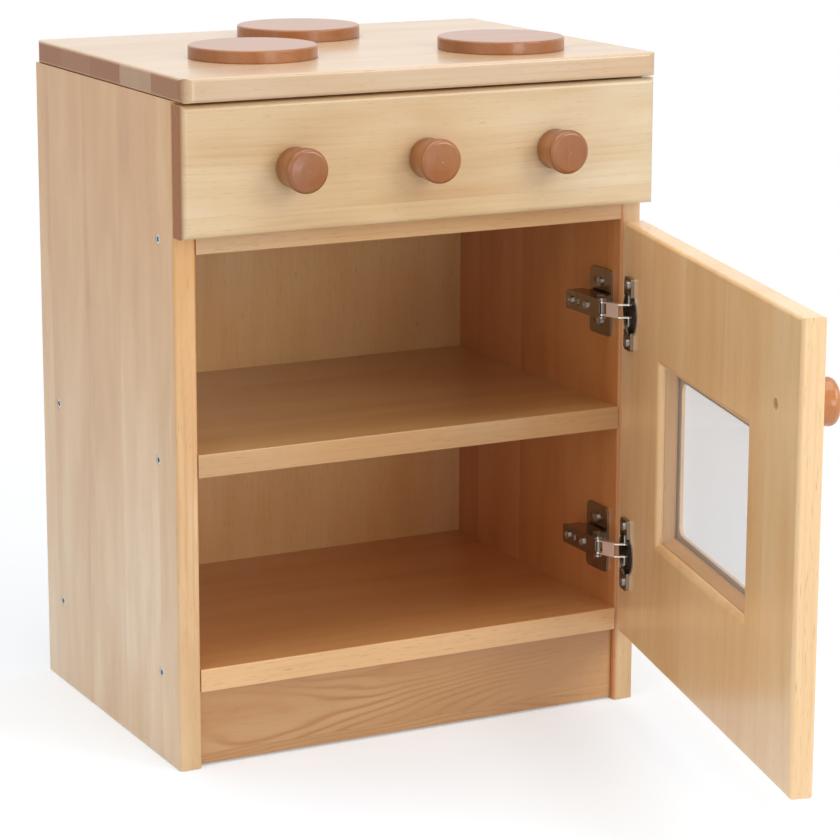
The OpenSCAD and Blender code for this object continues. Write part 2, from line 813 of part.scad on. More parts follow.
// Cup let into the door, with two ears for its screws and two stub pins for the outer link
module cup() {
    color(nickel) carried() {
        difference() {
            union() {
                rod_y([cup_x, cup_floor, 0], 2 * cup_r, door_in - cup_floor + 0.05);
                rod_y([cup_x, door_in, 0], 2 * cup_r + 1.6, 0.9);
                for (s = [-1, 1])
                    translate([door_edge - cup_screw_s - ear_w / 2, door_in,
                        s > 0 ? ear_z[0] : -ear_z[1]])
                        prism_y([ear_w, ear_t, ear_z[1] - ear_z[0]], 3.5);
            }
            rod_y([cup_x, cup_floor + 1, 0], 2 * (cup_r - cup_wall), 30);
            for (s = [-1, 1])
                rod_y([door_edge - cup_screw_s, door_in - 1, s * cup_screw_pitch / 2],
                    wood_screw_d + 2 * fix_gap, 6);
        }
        for (s = [-1, 1])
            translate([cup_pivot.x, cup_pivot.y, s > 0 ? link_side_in - 0.2 : -12.6])
                cylinder(h = 12.6 - link_side_in + 0.2, r = stub_r);
    }
}

module cup_screws() {
    carried() for (s = [-1, 1])
        translate([door_edge - cup_screw_s, door_in + ear_t, s * cup_screw_pitch / 2]) rotate([0, 0, -90])
            pan_screw(6.6, 1.4, wood_screw_d, wood_screw_grip + 1.3);
}

module hinge_top_plate() {
    translate([0, 0, hinge_top_z]) mounting_plate();
}

module hinge_top_plate_screws() {
    translate([0, 0, hinge_top_z]) plate_screws();
}

module hinge_top_arm() {
    translate([0, 0, hinge_top_z]) arm();
}

module hinge_top_arm_screws() {
    translate([0, 0, hinge_top_z]) arm_screws();
}

module hinge_top_pin() {
    translate([0, 0, hinge_top_z]) arm_pin();
}

module hinge_top_link() {
    translate([0, 0, hinge_top_z]) outer_link();
}

module hinge_top_cup() {
    translate([0, 0, hinge_top_z]) cup();
}

module hinge_top_cup_screws() {
    translate([0, 0, hinge_top_z]) cup_screws();
}

module hinge_low_plate() {
    translate([0, 0, hinge_low_z]) mounting_plate();
}

module hinge_low_plate_screws() {
    translate([0, 0, hinge_low_z]) plate_screws();
}

module hinge_low_arm() {
    translate([0, 0, hinge_low_z]) arm();
}

module hinge_low_arm_screws() {
    translate([0, 0, hinge_low_z]) arm_screws();
}

module hinge_low_pin() {
    translate([0, 0, hinge_low_z]) arm_pin();
}

module hinge_low_link() {
    translate([0, 0, hinge_low_z]) outer_link();
}

module hinge_low_cup() {
    translate([0, 0, hinge_low_z]) cup();
}

module hinge_low_cup_screws() {
    translate([0, 0, hinge_low_z]) cup_screws();
}

top_panel();
side_left();
side_right();
back_panel();
control_fascia();
front_rail();
middle_shelf();
bottom_shelf();
kickboard();
screws_left();
screws_right();
top_dowels();
fascia_dowels();
kick_dowels();
hotplate_left();
hotplate_rear();
hotplate_right();
hotplate_dowels();
knob_left();
knob_middle();
knob_right();
knob_screw_left();
knob_screw_middle();
knob_screw_right();
knob_washer_left();
knob_washer_middle();
knob_washer_right();
door_panel();
window_pane();
bead_top();
bead_bottom();
bead_hinge_side();
bead_knob_side();
door_knob();
door_knob_screw();
hinge_top_plate();
hinge_top_plate_screws();
hinge_top_arm();
hinge_top_arm_screws();
hinge_top_pin();
hinge_top_link();
hinge_top_cup();
hinge_top_cup_screws();
hinge_low_plate();
hinge_low_plate_screws();
hinge_low_arm();
hinge_low_arm_screws();
hinge_low_pin();
hinge_low_link();
hinge_low_cup();
hinge_low_cup_screws();
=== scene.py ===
"""Dresses the toy oven: its boards, turned parts, window, hinges and screws, on a white stage."""

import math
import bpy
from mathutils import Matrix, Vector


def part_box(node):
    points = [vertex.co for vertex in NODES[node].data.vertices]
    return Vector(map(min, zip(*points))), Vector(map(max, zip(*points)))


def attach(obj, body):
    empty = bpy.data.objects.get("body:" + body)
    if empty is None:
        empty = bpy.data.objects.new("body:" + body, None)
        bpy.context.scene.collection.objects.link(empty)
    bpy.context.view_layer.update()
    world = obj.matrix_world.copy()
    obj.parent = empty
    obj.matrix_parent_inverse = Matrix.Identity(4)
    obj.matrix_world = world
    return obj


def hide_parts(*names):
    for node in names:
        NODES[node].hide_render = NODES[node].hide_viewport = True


bl_info = {
    "name": "Toy oven dresser",
    "version": (1, 0, 0),
    "blender": (4, 5, 0),
    "location": "View3D > Sidebar > Toy oven",
    "description": "Finishes the wooden play cooker's boards, turned parts, window, hinges and screws",
    "category": "Object",
}

import bpy
from bpy.props import FloatProperty, FloatVectorProperty, IntProperty, PointerProperty
from mathutils import Matrix, Vector

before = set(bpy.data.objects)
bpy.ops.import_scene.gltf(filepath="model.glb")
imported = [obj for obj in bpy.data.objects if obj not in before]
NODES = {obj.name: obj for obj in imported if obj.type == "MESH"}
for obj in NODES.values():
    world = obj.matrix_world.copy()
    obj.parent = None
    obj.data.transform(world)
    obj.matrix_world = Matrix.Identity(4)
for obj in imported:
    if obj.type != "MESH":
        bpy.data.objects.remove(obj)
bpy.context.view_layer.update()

# The plane of the side boards' front edges, from which the cabinet's places are counted.
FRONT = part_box("side_left")[0].y

# The door stands open in the frame: this is the way across its face.
DOOR_OPEN = math.radians(76)
DOOR_ACROSS = (math.cos(DOOR_OPEN), math.sin(DOOR_OPEN), 0.0)
X, Y, Z = (1.0, 0.0, 0.0), (0.0, 1.0, 0.0), (0.0, 0.0, 1.0)


def linear(code):
    """A written colour such as e3cba0 as linear red, green, blue."""
    out = []
    for i in (0, 2, 4):
        v = int(code[i:i + 2], 16) / 255
        out.append(v / 12.92 if v <= 0.04045 else ((v + 0.055) / 1.055) ** 2.4)
    return tuple(out)


# Settings


class OvenWood(bpy.types.PropertyGroup):
    """Colours and figure of the timber."""

    maple_light: FloatVectorProperty(name="Maple, light", description="Palest streaks of the boards",
                                     subtype="COLOR", size=3, min=0, max=1, default=linear("f0d9b4"))
    maple_mid: FloatVectorProperty(name="Maple, body", description="Body colour of the boards",
                                   subtype="COLOR", size=3, min=0, max=1, default=linear("e2c191"))
    maple_dark: FloatVectorProperty(name="Maple, dark", description="Dark streaks of the boards",
                                    subtype="COLOR", size=3, min=0, max=1, default=linear("cfa26c"))
    maple_end: FloatVectorProperty(name="Maple, end grain", description="Sawn ends of the boards",
                                   subtype="COLOR", size=3, min=0, max=1, default=linear("b3681f"))
    alder_light: FloatVectorProperty(name="Alder, light", description="Palest streaks of the turned parts",
                                     subtype="COLOR", size=3, min=0, max=1, default=linear("b57a44"))
    alder_mid: FloatVectorProperty(name="Alder, body", description="Body colour of the turned parts",
                                   subtype="COLOR", size=3, min=0, max=1, default=linear("9c6130"))
    alder_dark: FloatVectorProperty(name="Alder, dark", description="Dark streaks of the turned parts",
                                    subtype="COLOR", size=3, min=0, max=1, default=linear("7a441d"))
    alder_end: FloatVectorProperty(name="Alder, end grain", description="End grain of the turned parts",
                                   subtype="COLOR", size=3, min=0, max=1, default=linear("80491f"))
    stave: FloatProperty(name="Stave width", description="Width of the strips that a board is glued from",
                         unit="LENGTH", min=0.02, max=0.2, default=0.074)
    ring: FloatProperty(name="Ring spacing", description="Distance between growth rings",
                        unit="LENGTH", min=0.001, max=0.02, default=0.0055)
    lacquer: FloatProperty(name="Lacquer", description="Strength of the clear satin coat",
                           subtype="FACTOR", min=0, max=1, default=0.5)


class OvenMetal(bpy.types.PropertyGroup):
    """Plating of the hinges and screws."""

    # The nickel colour is dark and brownish: partly the plating, partly painted reflection of the brown wood
    nickel: FloatVectorProperty(name="Nickel", description="Plating of the hinges",
                                subtype="COLOR", size=3, min=0, max=1, default=(0.40, 0.36, 0.32))
    zinc: FloatVectorProperty(name="Zinc", description="Plating of the screws",
                              subtype="COLOR", size=3, min=0, max=1, default=(0.60, 0.61, 0.62))
    head_d: FloatProperty(name="Screw head", description="Diameter of the cabinet screws' heads",
                          unit="LENGTH", min=0.005, max=0.012, default=0.008)
    socket_d: FloatProperty(name="Screw socket", description="Width of the hexagon socket in a head",
                            unit="LENGTH", min=0.002, max=0.006, default=0.0046)
    socket_sides: IntProperty(name="Socket sides", description="Sides of the socket in a head",
                              min=4, max=8, default=6)


class OvenStage(bpy.types.PropertyGroup):
    """Camera, floor and lamps."""

    lens: FloatProperty(name="Lens", description="Focal length of the camera",
                        min=35, max=300, default=128.68)
    place: FloatVectorProperty(name="Camera place", description="Where the camera stands",
                               subtype="TRANSLATION", unit="LENGTH", size=3,
                               default=(-1.0341, -1.9467, 0.7846))
    heading: FloatProperty(name="Heading", description="Turn of the camera to the right",
                           subtype="ANGLE", default=0.4633)
    pitch: FloatProperty(name="Pitch", description="Tilt of the camera downwards",
                         subtype="ANGLE", default=0.2088)
    key: FloatProperty(name="Key lamp", description="Power of the large lamp at the front right",
                       min=0, max=400, default=13)
    top: FloatProperty(name="Top lamp", description="Power of the lamp overhead",
                       min=0, max=400, default=42)
    fill: FloatProperty(name="Fill lamp", description="Power of the lamp on the left",
                        min=0, max=400, default=11)
    front: FloatProperty(name="Front lamp", description="Power of the low lamp that lights the compartments",
                         min=0, max=400, default=12)
    glow: FloatProperty(name="Floor glow", description="Light added to the floor where it is seen",
                        min=0, max=1, default=0.34)
    clear_from: FloatProperty(name="Clear from", unit="LENGTH", min=0.2, max=3, default=0.55,
                              description="Distance at which the floor starts to turn plain white")
    clear_to: FloatProperty(name="Clear to", description="Distance past which the floor is plain white",
                            unit="LENGTH", min=0.4, max=6, default=1.15)
    sky: FloatProperty(name="Sky", description="Strength of the even light from all round",
                       min=0, max=2, default=0.30)


# Material recipes


class Recipe:
    """Writes one material's nodes."""

    def __init__(self, name):
        self.material = bpy.data.materials.new(name)
        self.material.use_nodes = True
        self.tree = self.material.node_tree
        self.tree.nodes.clear()

    def node(self, kind, inputs=(), **settings):
        made = self.tree.nodes.new(kind)
        for key, value in settings.items():
            setattr(made, key, value)
        pairs = inputs.items() if isinstance(inputs, dict) else enumerate(inputs)
        for key, value in pairs:
            if value is None:
                continue
            if isinstance(value, bpy.types.NodeSocket):
                self.tree.links.new(value, made.inputs[key])
            else:
                made.inputs[key].default_value = value
        return made

    def math(self, operation, *values, clamp=False):
        return self.node("ShaderNodeMath", values, operation=operation, use_clamp=clamp).outputs[0]

    def noise(self, vector, detail=2.0, roughness=0.5):
        made = self.node("ShaderNodeTexNoise", {"Vector": vector, "Scale": 1.0, "Detail": detail,
                                               "Roughness": roughness})
        return made.outputs["Fac"]

    def stretch(self, vector, scale, shift=None):
        out = self.node("ShaderNodeVectorMath", [vector, scale], operation="MULTIPLY").outputs[0]
        if shift is not None:
            out = self.node("ShaderNodeVectorMath", [out, shift], operation="ADD").outputs[0]
        return out

    def ramp(self, factor, stops):
        made = self.node("ShaderNodeValToRGB", [factor])
        ramp = made.color_ramp
        while len(ramp.elements) < len(stops):
            ramp.elements.new(0.5)
        for element, (place, colour) in zip(ramp.elements, stops):
            element.position = place
            element.color = (*colour, 1.0)
        return made.outputs["Color"]

    def mix(self, factor, a, b, blend="MIX"):
        made = self.node("ShaderNodeMix", data_type="RGBA", blend_type=blend)
        for socket, value in ((made.inputs[0], factor), (made.inputs[6], a), (made.inputs[7], b)):
            if isinstance(value, bpy.types.NodeSocket):
                self.tree.links.new(value, socket)
            elif socket.type == "RGBA":
                socket.default_value = (*value, 1.0)
            else:
                socket.default_value = value
        return made.outputs[2]

    def surface(self, base, roughness, bump=None, **fixed):
        shader = self.node("ShaderNodeBsdfPrincipled")
        for key, value in (("Base Color", base), ("Roughness", roughness)):
            if isinstance(value, bpy.types.NodeSocket):
                self.tree.links.new(value, shader.inputs[key])
            elif key == "Base Color":
                shader.inputs[key].default_value = (*value, 1.0)
            else:
                shader.inputs[key].default_value = value
        for key, value in fixed.items():
            shader.inputs[key.replace("_", " ")].default_value = value
        if bump is not None:
            self.tree.links.new(bump, shader.inputs["Normal"])
        out = self.node("ShaderNodeOutputMaterial")
        self.tree.links.new(shader.outputs[0], out.inputs[0])
        return self.material


def timber(name, along, across, palette, seed=0.0, stave=0.074, ring=0.0055, figure=1.0, streak=1.0,
           rough=0.34, coat=0.5, origin=(0.0, 0.0, 0.0), tone=0.0, tint=(1.0, 1.0, 1.0), dashes=1.0,
           cloud=1.0, ends=0.85, painted_light_ramp=None):
    """Wood whose grain runs along one direction, glued from staves side by side across another.

    stave and ring are widths in metres. tone lightens the body, tint multiplies every colour of the
    palette, and figure, streak, dashes, cloud and ends are strengths of one feature each.
    painted_light_ramp is (direction, start, end, tint), a ramp of painted light and shade: past the end the
    colour is multiplied by the tint.
    Noise is stretched along the grain, so its scales are written as (along, across, deep), per metre.
    """
    light, mid, dark, end = [tuple(c * t for c, t in zip(colour, tint)) for colour in palette]
    r = Recipe(name)
    a = Vector(along).normalized()
    b = Vector(across).normalized()
    turn = Matrix((a, b, a.cross(b)))
    coords = r.node("ShaderNodeTexCoord")
    grain = r.node("ShaderNodeMapping", {"Vector": coords.outputs["Object"],
                                         "Location": turn @ -Vector(origin),
                                         "Rotation": turn.to_euler("XYZ")}).outputs[0]
    side, deep = r.node("ShaderNodeSeparateXYZ", [grain]).outputs[1:3]

    # Staves: each has its own random numbers
    place = r.math("ADD", r.math("DIVIDE", side, stave), 0.31 * seed + 0.13)
    index = r.math("FLOOR", place)
    from_joint = r.math("SUBTRACT", place, index)
    chance = r.node("ShaderNodeTexWhiteNoise", {"W": r.math("ADD", index, 7.3 * seed + 0.5)},
                    noise_dimensions="1D")
    one, two, three = r.node("ShaderNodeSeparateColor", [chance.outputs["Color"]]).outputs
    shift = r.node("ShaderNodeCombineXYZ", [r.math("MULTIPLY", one, 9.0), r.math("MULTIPLY", two, 9.0),
                                            r.math("MULTIPLY", three, 9.0)]).outputs[0]

    # Growth rings about a wandering heart, faded in and out by patches
    sway = r.noise(r.stretch(grain, (2.2, 8.0, 8.0), shift), 2.0, 0.45)
    ripple = r.noise(r.stretch(grain, (7.0, 40.0, 40.0), shift), 2.0, 0.5)
    heart = r.math("ADD", 0.15, r.math("MULTIPLY", one, 0.7))
    middle = r.math("MULTIPLY", r.math("SUBTRACT", from_joint, heart), stave)
    bb = r.math("ADD", middle, r.math("MULTIPLY", r.math("SUBTRACT", sway, 0.5), 0.075 * figure))
    cc = r.math("ADD", r.math("ADD", deep, r.math("MULTIPLY", two, 0.03)),
                r.math("ADD", 0.022, r.math("MULTIPLY", r.math("SUBTRACT", ripple, 0.5), 0.008 * figure)))
    distance = r.math("SQRT", r.math("ADD", r.math("MULTIPLY", bb, bb), r.math("MULTIPLY", cc, cc)))
    wave = r.math("SINE", r.math("MULTIPLY", distance, 2 * math.pi / ring))
    rings = r.math("POWER", r.math("ADD", r.math("MULTIPLY", wave, 0.5), 0.5), 3.0)
    patches = r.noise(r.stretch(grain, (5.0, 18.0, 18.0), shift), 2.0, 0.55)
    patches = r.math("MULTIPLY", r.math("SUBTRACT", patches, 0.42, clamp=True), 2.4 * 0.36 * figure)
    rings = r.math("MULTIPLY", r.math("SUBTRACT", rings, 0.3), patches)

    # Soft clouds, fibres and the tone of each stave
    fibre = r.noise(r.stretch(grain, (16.0, 700.0, 700.0)), 3.0, 0.6)
    broad = r.noise(r.stretch(grain, (2.6, 20.0, 20.0), shift), 2.0, 0.5)
    soft = r.noise(r.stretch(grain, (9.0, 34.0, 34.0), shift), 2.0, 0.55)
    body, stave_spread = 0.54, 0.22
    value = r.math("SUBTRACT", body + tone, rings)
    features = ((fibre, 0.24 * streak), (broad, 0.62 * cloud), (soft, 0.34 * cloud), (three, stave_spread))
    for part, amount in features:
        value = r.math("ADD", value, r.math("MULTIPLY", r.math("SUBTRACT", part, 0.5), amount))
    value = r.math("MAXIMUM", r.math("MINIMUM", value, 1.0), 0.0)
    colour = r.ramp(value, [(0.08, dark), (0.50, mid), (0.92, light)])

    # Short dark dashes of the rays, and the glue joints
    dash = r.noise(r.stretch(grain, (95.0, 1700.0, 1700.0)), 0.0, 0.5)
    dash = r.math("MULTIPLY", r.math("SUBTRACT", dash, 0.70, clamp=True), 5.0 * dashes, clamp=True)
    colour = r.mix(r.math("MULTIPLY", dash, 0.55), colour, tuple(0.62 * c for c in dark))
    joint_w = 0.0002
    inward = r.math("SUBTRACT", 0.5, r.math("ABSOLUTE", r.math("SUBTRACT", from_joint, 0.5)))
    edge = r.math("LESS_THAN", inward, joint_w / stave)
    colour = r.mix(r.math("MULTIPLY", edge, 0.30), colour, dark)

    # Sawn ends are darker and speckled, each stave by its own amount
    facing = r.node("ShaderNodeVectorMath", [coords.outputs["Normal"], tuple(a)], operation="DOT_PRODUCT")
    sawn = r.math("POWER", r.math("ABSOLUTE", facing.outputs["Value"]), 4.0)
    speck = r.noise(r.stretch(grain, (60.0, 420.0, 420.0), shift), 2.0, 0.6)
    cut = r.mix(r.math("MULTIPLY", speck, 0.9), end, tuple(0.66 * c for c in end))
    browned = r.math("MULTIPLY", ends, r.math("ADD", 0.35, r.math("MULTIPLY", two, 0.85)), clamp=True)
    colour = r.mix(r.math("MULTIPLY", sawn, browned), colour, cut)

    # Painted light and shade: past a ramp along one direction the colour is multiplied by a tint
    if painted_light_ramp:
        way, start, stop, painted_tint = painted_light_ramp
        run = r.node("ShaderNodeVectorMath", [coords.outputs["Object"], way], operation="DOT_PRODUCT")
        painted_share = r.node("ShaderNodeMapRange",
                       {"Value": run.outputs["Value"], "From Min": start, "From Max": stop},
                       interpolation_type="SMOOTHSTEP").outputs[0]
        colour = r.mix(painted_share, colour, painted_tint, blend="MULTIPLY")

    height = r.math("ADD", r.math("MULTIPLY", fibre, 0.6),
                    r.math("MULTIPLY", r.noise(r.stretch(grain, (40.0, 180.0, 180.0)), 2.0, 0.5), 0.5))
    bump = r.node("ShaderNodeBump", {"Strength": 0.10, "Distance": 0.0003, "Height": height}).outputs[0]
    gloss = r.math("ADD", r.math("ADD", rough - 0.04, r.math("MULTIPLY", broad, 0.08)),
                   r.math("MULTIPLY", sawn, 0.30 * ends))
    return r.surface(colour, gloss, bump, Coat_Weight=coat, Coat_Roughness=0.16)


def plated(name, colour, rough, worn=0.5):
    """Bright plating with faint draw marks and dull patches."""
    r = Recipe(name)
    coords = r.node("ShaderNodeTexCoord").outputs["Object"]
    marks = r.noise(r.stretch(coords, (900.0, 900.0, 160.0)), 2.0, 0.6)
    cloud = r.noise(r.stretch(coords, (90.0, 90.0, 90.0)), 3.0, 0.6)
    dull = r.math("ADD", rough, r.math("MULTIPLY", r.math("SUBTRACT", cloud, 0.4), 0.25 * worn))
    tint = r.mix(r.math("MULTIPLY", cloud, worn), colour, tuple(c * 0.55 for c in colour))
    bump = r.node("ShaderNodeBump", {"Strength": 0.12, "Distance": 0.0001, "Height": marks}).outputs[0]
    return r.surface(tint, dull, bump, Metallic=1.0)


def clear_sheet(name):
    """Clear acrylic sheet with a faint haze."""
    r = Recipe(name)
    coords = r.node("ShaderNodeTexCoord").outputs["Object"]
    haze = r.noise(r.stretch(coords, (18.0, 18.0, 18.0)), 2.0, 0.5)
    tint = r.ramp(haze, [(0.3, (0.81, 0.80, 0.80)), (0.7, (0.84, 0.83, 0.83))])
    made = r.surface(tint, 0.06, None, Alpha=0.32)
    made.surface_render_method = "BLENDED"
    return made


def dress(node, material):
    """Puts a material on every slot of a CAD node."""
    mesh = NODES[node].data
    if not mesh.materials:
        mesh.materials.append(material)
    for i in range(len(mesh.materials)):
        mesh.materials[i] = material


def maple(wood):
    return (tuple(wood.maple_light), tuple(wood.maple_mid), tuple(wood.maple_dark), tuple(wood.maple_end))


def alder(wood):
    return (tuple(wood.alder_light), tuple(wood.alder_mid), tuple(wood.alder_dark), tuple(wood.alder_end))


# Operators


class OVEN_OT_cabinet(bpy.types.Operator):
    """Finish the top, sides, shelves, kickboard, rail and back of the cabinet"""

    bl_idname = "oven.cabinet"
    bl_label = "Cabinet boards"

    def execute(self, context):
        wood = context.scene.oven_wood
        pal = maple(wood)
        # The shelves' faces get painted shade of the compartments, which starts just behind the front edge,
        # so the edge stays paler
        behind = {node: (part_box(node)[0].y + 0.0003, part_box(node)[0].y + 0.002)
                  for node in ("middle_shelf", "bottom_shelf")}
        # Node, grain, across, seed, stave, figure, tone, tint, ends, painted light ramp
        # The darker tints of the right side, the rail and the middle shelf are partly the boards' own tone,
        # partly painted shade inside the cabinet
        rows = [
            ("top_panel", X, Y, 1.0, 0.062, 0.6, 0.03, (0.84, 0.81, 0.88), 1.2, None),
            # The left side gets painted shade: darker and more orange towards its top
            ("side_left", Z, Y, 2.0, wood.stave, 1.2, 0.02, (1.09, 1.01, 0.98), 0.5,
             (Z, 0.05, 0.50, (0.86, 0.66, 0.38))),
            # The right side's inner face is darkened as painted shade of the compartments behind the door
            ("side_right", Z, Y, 3.0, wood.stave, 0.7, 0.0, (0.92, 0.84, 0.78), 0.5,
             (-Vector(X), -0.186, -0.1825, (0.87, 0.54, 0.34))),
            ("back_panel", Z, X, 4.0, 0.400, 0.5, 0.10, (1.14, 1.03, 0.84), 0.5, None),
            # The fascia gets painted light: brighter and whiter towards its right end
            ("control_fascia", X, Z, 5.0, 0.099, 0.5, 0.03, (0.95, 0.97, 1.03), 2.2,
             (X, 0.0, 0.20, (1.06, 1.18, 1.36))),
            ("front_rail", X, Y, 6.0, 0.060, 0.7, 0.0, (0.84, 0.72, 0.64), 0.5, None),
            ("middle_shelf", X, Y, 7.0, 0.070, 0.5, 0.0, (0.84, 0.71, 0.62), 0.5,
             (Y, *behind["middle_shelf"], (1.0, 0.94, 0.80))),
            ("bottom_shelf", X, Y, 8.0, 0.066, 0.5, 0.0, (1.12, 0.92, 0.73), 0.5,
             (Y, *behind["bottom_shelf"], (0.80, 0.64, 0.53))),
            ("kickboard", X, Z, 9.0, 0.120, 2.4, 0.0, (0.79, 0.58, 0.42), 0.5, None),
        ]
        cloudy = {"side_left": 2.2, "side_right": 1.6, "control_fascia": 1.7, "top_panel": 1.3,
                  "kickboard": 1.3}
        for node, along, across, seed, stave, figure, tone, tint, ends, painted_light_ramp in rows:
            dress(node, timber("Maple " + node.replace("_", " "), along, across, pal, seed=seed, stave=stave,
                               ring=wood.ring, figure=figure, coat=wood.lacquer, tone=tone, tint=tint,
                               ends=ends, painted_light_ramp=painted_light_ramp, cloud=cloudy.get(node, 1.0)))
        return {"FINISHED"}


class OVEN_OT_hotplates(bpy.types.Operator):
    """Finish the three turned hotplates"""

    bl_idname = "oven.hotplates"
    bl_label = "Hotplates"

    def execute(self, context):
        wood = context.scene.oven_wood
        for i, node in enumerate(("hotplate_left", "hotplate_rear", "hotplate_right")):
            low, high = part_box(node)
            dress(node, timber("Alder " + node.replace("_", " "), X, Y, alder(wood), seed=11.0 + i, stave=0.4,
                               ring=0.006, figure=0.5, origin=(low + high) / 2, coat=wood.lacquer, cloud=0.6,
                               dashes=0.3, tint=(1.10, 1.10, 1.16)))
        return {"FINISHED"}


class OVEN_OT_knobs(bpy.types.Operator):
    """Finish the control knobs, their screws and washers, and the door knob"""

    bl_idname = "oven.knobs"
    bl_label = "Knobs"

    def execute(self, context):
        wood, metal = context.scene.oven_wood, context.scene.oven_metal
        zinc = plated("Zinc, knob fixings", tuple(metal.zinc), 0.32)
        for i, side in enumerate(("left", "middle", "right")):
            low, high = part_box("knob_" + side)
            dress("knob_" + side, timber("Alder knob " + side, Z, X, alder(wood), seed=21.0 + i, stave=0.3,
                                         ring=0.004, figure=0.3, origin=(low + high) / 2, coat=wood.lacquer,
                                         cloud=0.6, dashes=0.3, tint=(0.95, 0.84, 0.66)))
            dress("knob_screw_" + side, zinc)
            dress("knob_washer_" + side, zinc)
        low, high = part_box("door_knob")
        dress("door_knob", timber("Alder door knob", Z, DOOR_ACROSS, alder(wood), seed=27.0, stave=0.3,
                                  ring=0.004, figure=0.3, origin=(low + high) / 2, coat=wood.lacquer,
                                  cloud=0.6, dashes=0.3, tint=(1.45, 1.42, 1.40)))
        # The door knob's screw is zinc; its dark brown colour is painted shade
        dress("door_knob_screw", plated("Door knob screw, painted shade", (0.10, 0.075, 0.055), 0.5))
        return {"FINISHED"}


class OVEN_OT_door(bpy.types.Operator):
    """Finish the door board, its glazing beads and its pane"""

    bl_idname = "oven.door"
    bl_label = "Door"

    def execute(self, context):
        wood = context.scene.oven_wood
        pal = maple(wood)
        dress("door_panel", timber("Maple door", Z, DOOR_ACROSS, pal, seed=31.0, stave=0.088, ring=wood.ring,
                                   figure=0.6, coat=wood.lacquer, tint=(1.18, 1.09, 1.01), ends=0.1))
        beads = (("bead_top", DOOR_ACROSS, Z, 33.0), ("bead_bottom", DOOR_ACROSS, Z, 34.0),
                 ("bead_hinge_side", Z, DOOR_ACROSS, 35.0), ("bead_knob_side", Z, DOOR_ACROSS, 36.0))
        for node, along, across, seed in beads:
            dress(node, timber("Maple " + node.replace("_", " "), along, across, pal, seed=seed, stave=0.3,
                               ring=0.003, figure=0.4, coat=wood.lacquer, tone=-0.06, ends=0.3,
                               tint=(0.88, 0.78, 0.80)))
        dress("window_pane", clear_sheet("Clear acrylic"))
        return {"FINISHED"}


class OVEN_OT_hinges(bpy.types.Operator):
    """Finish both concealed hinges and their screws"""

    bl_idname = "oven.hinges"
    bl_label = "Hinges"

    def execute(self, context):
        metal = context.scene.oven_metal
        nickel = plated("Nickel, hinges", tuple(metal.nickel), 0.20)
        # The links are the same nickel, made 2.3 times brighter as a painted highlight
        links_painted_highlight = plated("Nickel, links, painted highlight", tuple(min(1.0, 2.3 * c) for c in metal.nickel), 0.38, worn=0.2)
        zinc = plated("Zinc, hinge screws", tuple(metal.zinc), 0.28)
        for level in ("top", "low"):
            for piece in ("plate", "arm", "pin", "cup"):
                dress(f"hinge_{level}_{piece}", nickel)
            dress(f"hinge_{level}_link", links_painted_highlight)
            for piece in ("plate_screws", "arm_screws", "cup_screws"):
                dress(f"hinge_{level}_{piece}", zinc)
        return {"FINISHED"}


def screw_tree(material):
    """Nodes that set a socket-head screw on every point of a mesh, turned by the Side input."""
    tree = bpy.data.node_groups.new("Socket screws", "GeometryNodeTree")
    face = tree.interface
    face.new_socket("Geometry", in_out="INPUT", socket_type="NodeSocketGeometry")
    for label, low, high in (("Head Diameter", 0.004, 0.02), ("Socket Width", 0.002, 0.01),
                             ("Head Height", 0.001, 0.01), ("Side", -4.0, 4.0)):
        made = face.new_socket(label, in_out="INPUT", socket_type="NodeSocketFloat")
        made.min_value, made.max_value = low, high
    sides = face.new_socket("Socket Sides", in_out="INPUT", socket_type="NodeSocketInt")
    sides.min_value, sides.max_value = 3, 12
    face.new_socket("Geometry", in_out="OUTPUT", socket_type="NodeSocketGeometry")
    n, link = tree.nodes, tree.links.new
    given, out = n.new("NodeGroupInput"), n.new("NodeGroupOutput")

    def calc(operation, *values):
        made = n.new("ShaderNodeMath")
        made.operation = operation
        for i, value in enumerate(values):
            if isinstance(value, bpy.types.NodeSocket):
                link(value, made.inputs[i])
            else:
                made.inputs[i].default_value = value
        return made.outputs[0]

    head = n.new("GeometryNodeMeshCylinder")
    head.inputs["Vertices"].default_value = 48
    link(calc("DIVIDE", given.outputs["Head Diameter"], 2.0), head.inputs["Radius"])
    link(given.outputs["Head Height"], head.inputs["Depth"])
    well = n.new("GeometryNodeMeshCylinder")
    link(given.outputs["Socket Sides"], well.inputs["Vertices"])
    link(calc("DIVIDE", given.outputs["Socket Width"], 2.0), well.inputs["Radius"])
    link(given.outputs["Head Height"], well.inputs["Depth"])
    lift = n.new("ShaderNodeCombineXYZ")
    link(calc("MULTIPLY", given.outputs["Head Height"], 0.35), lift.inputs["Z"])
    raised = n.new("GeometryNodeTransform")
    link(well.outputs["Mesh"], raised.inputs["Geometry"])
    link(lift.outputs[0], raised.inputs["Translation"])
    cut = n.new("GeometryNodeMeshBoolean")
    cut.operation = "DIFFERENCE"
    link(head.outputs["Mesh"], cut.inputs["Mesh 1"])
    link(raised.outputs[0], cut.inputs["Mesh 2"])
    turn = n.new("ShaderNodeCombineXYZ")
    link(calc("MULTIPLY", given.outputs["Side"], math.pi / 2), turn.inputs["Y"])
    place = n.new("GeometryNodeInstanceOnPoints")
    link(given.outputs["Geometry"], place.inputs["Points"])
    link(cut.outputs[0], place.inputs["Instance"])
    link(turn.outputs[0], place.inputs["Rotation"])
    real = n.new("GeometryNodeRealizeInstances")
    link(place.outputs[0], real.inputs[0])
    paint = n.new("GeometryNodeSetMaterial")
    paint.inputs["Material"].default_value = material
    link(real.outputs[0], paint.inputs["Geometry"])
    link(paint.outputs[0], out.inputs[0])
    return tree


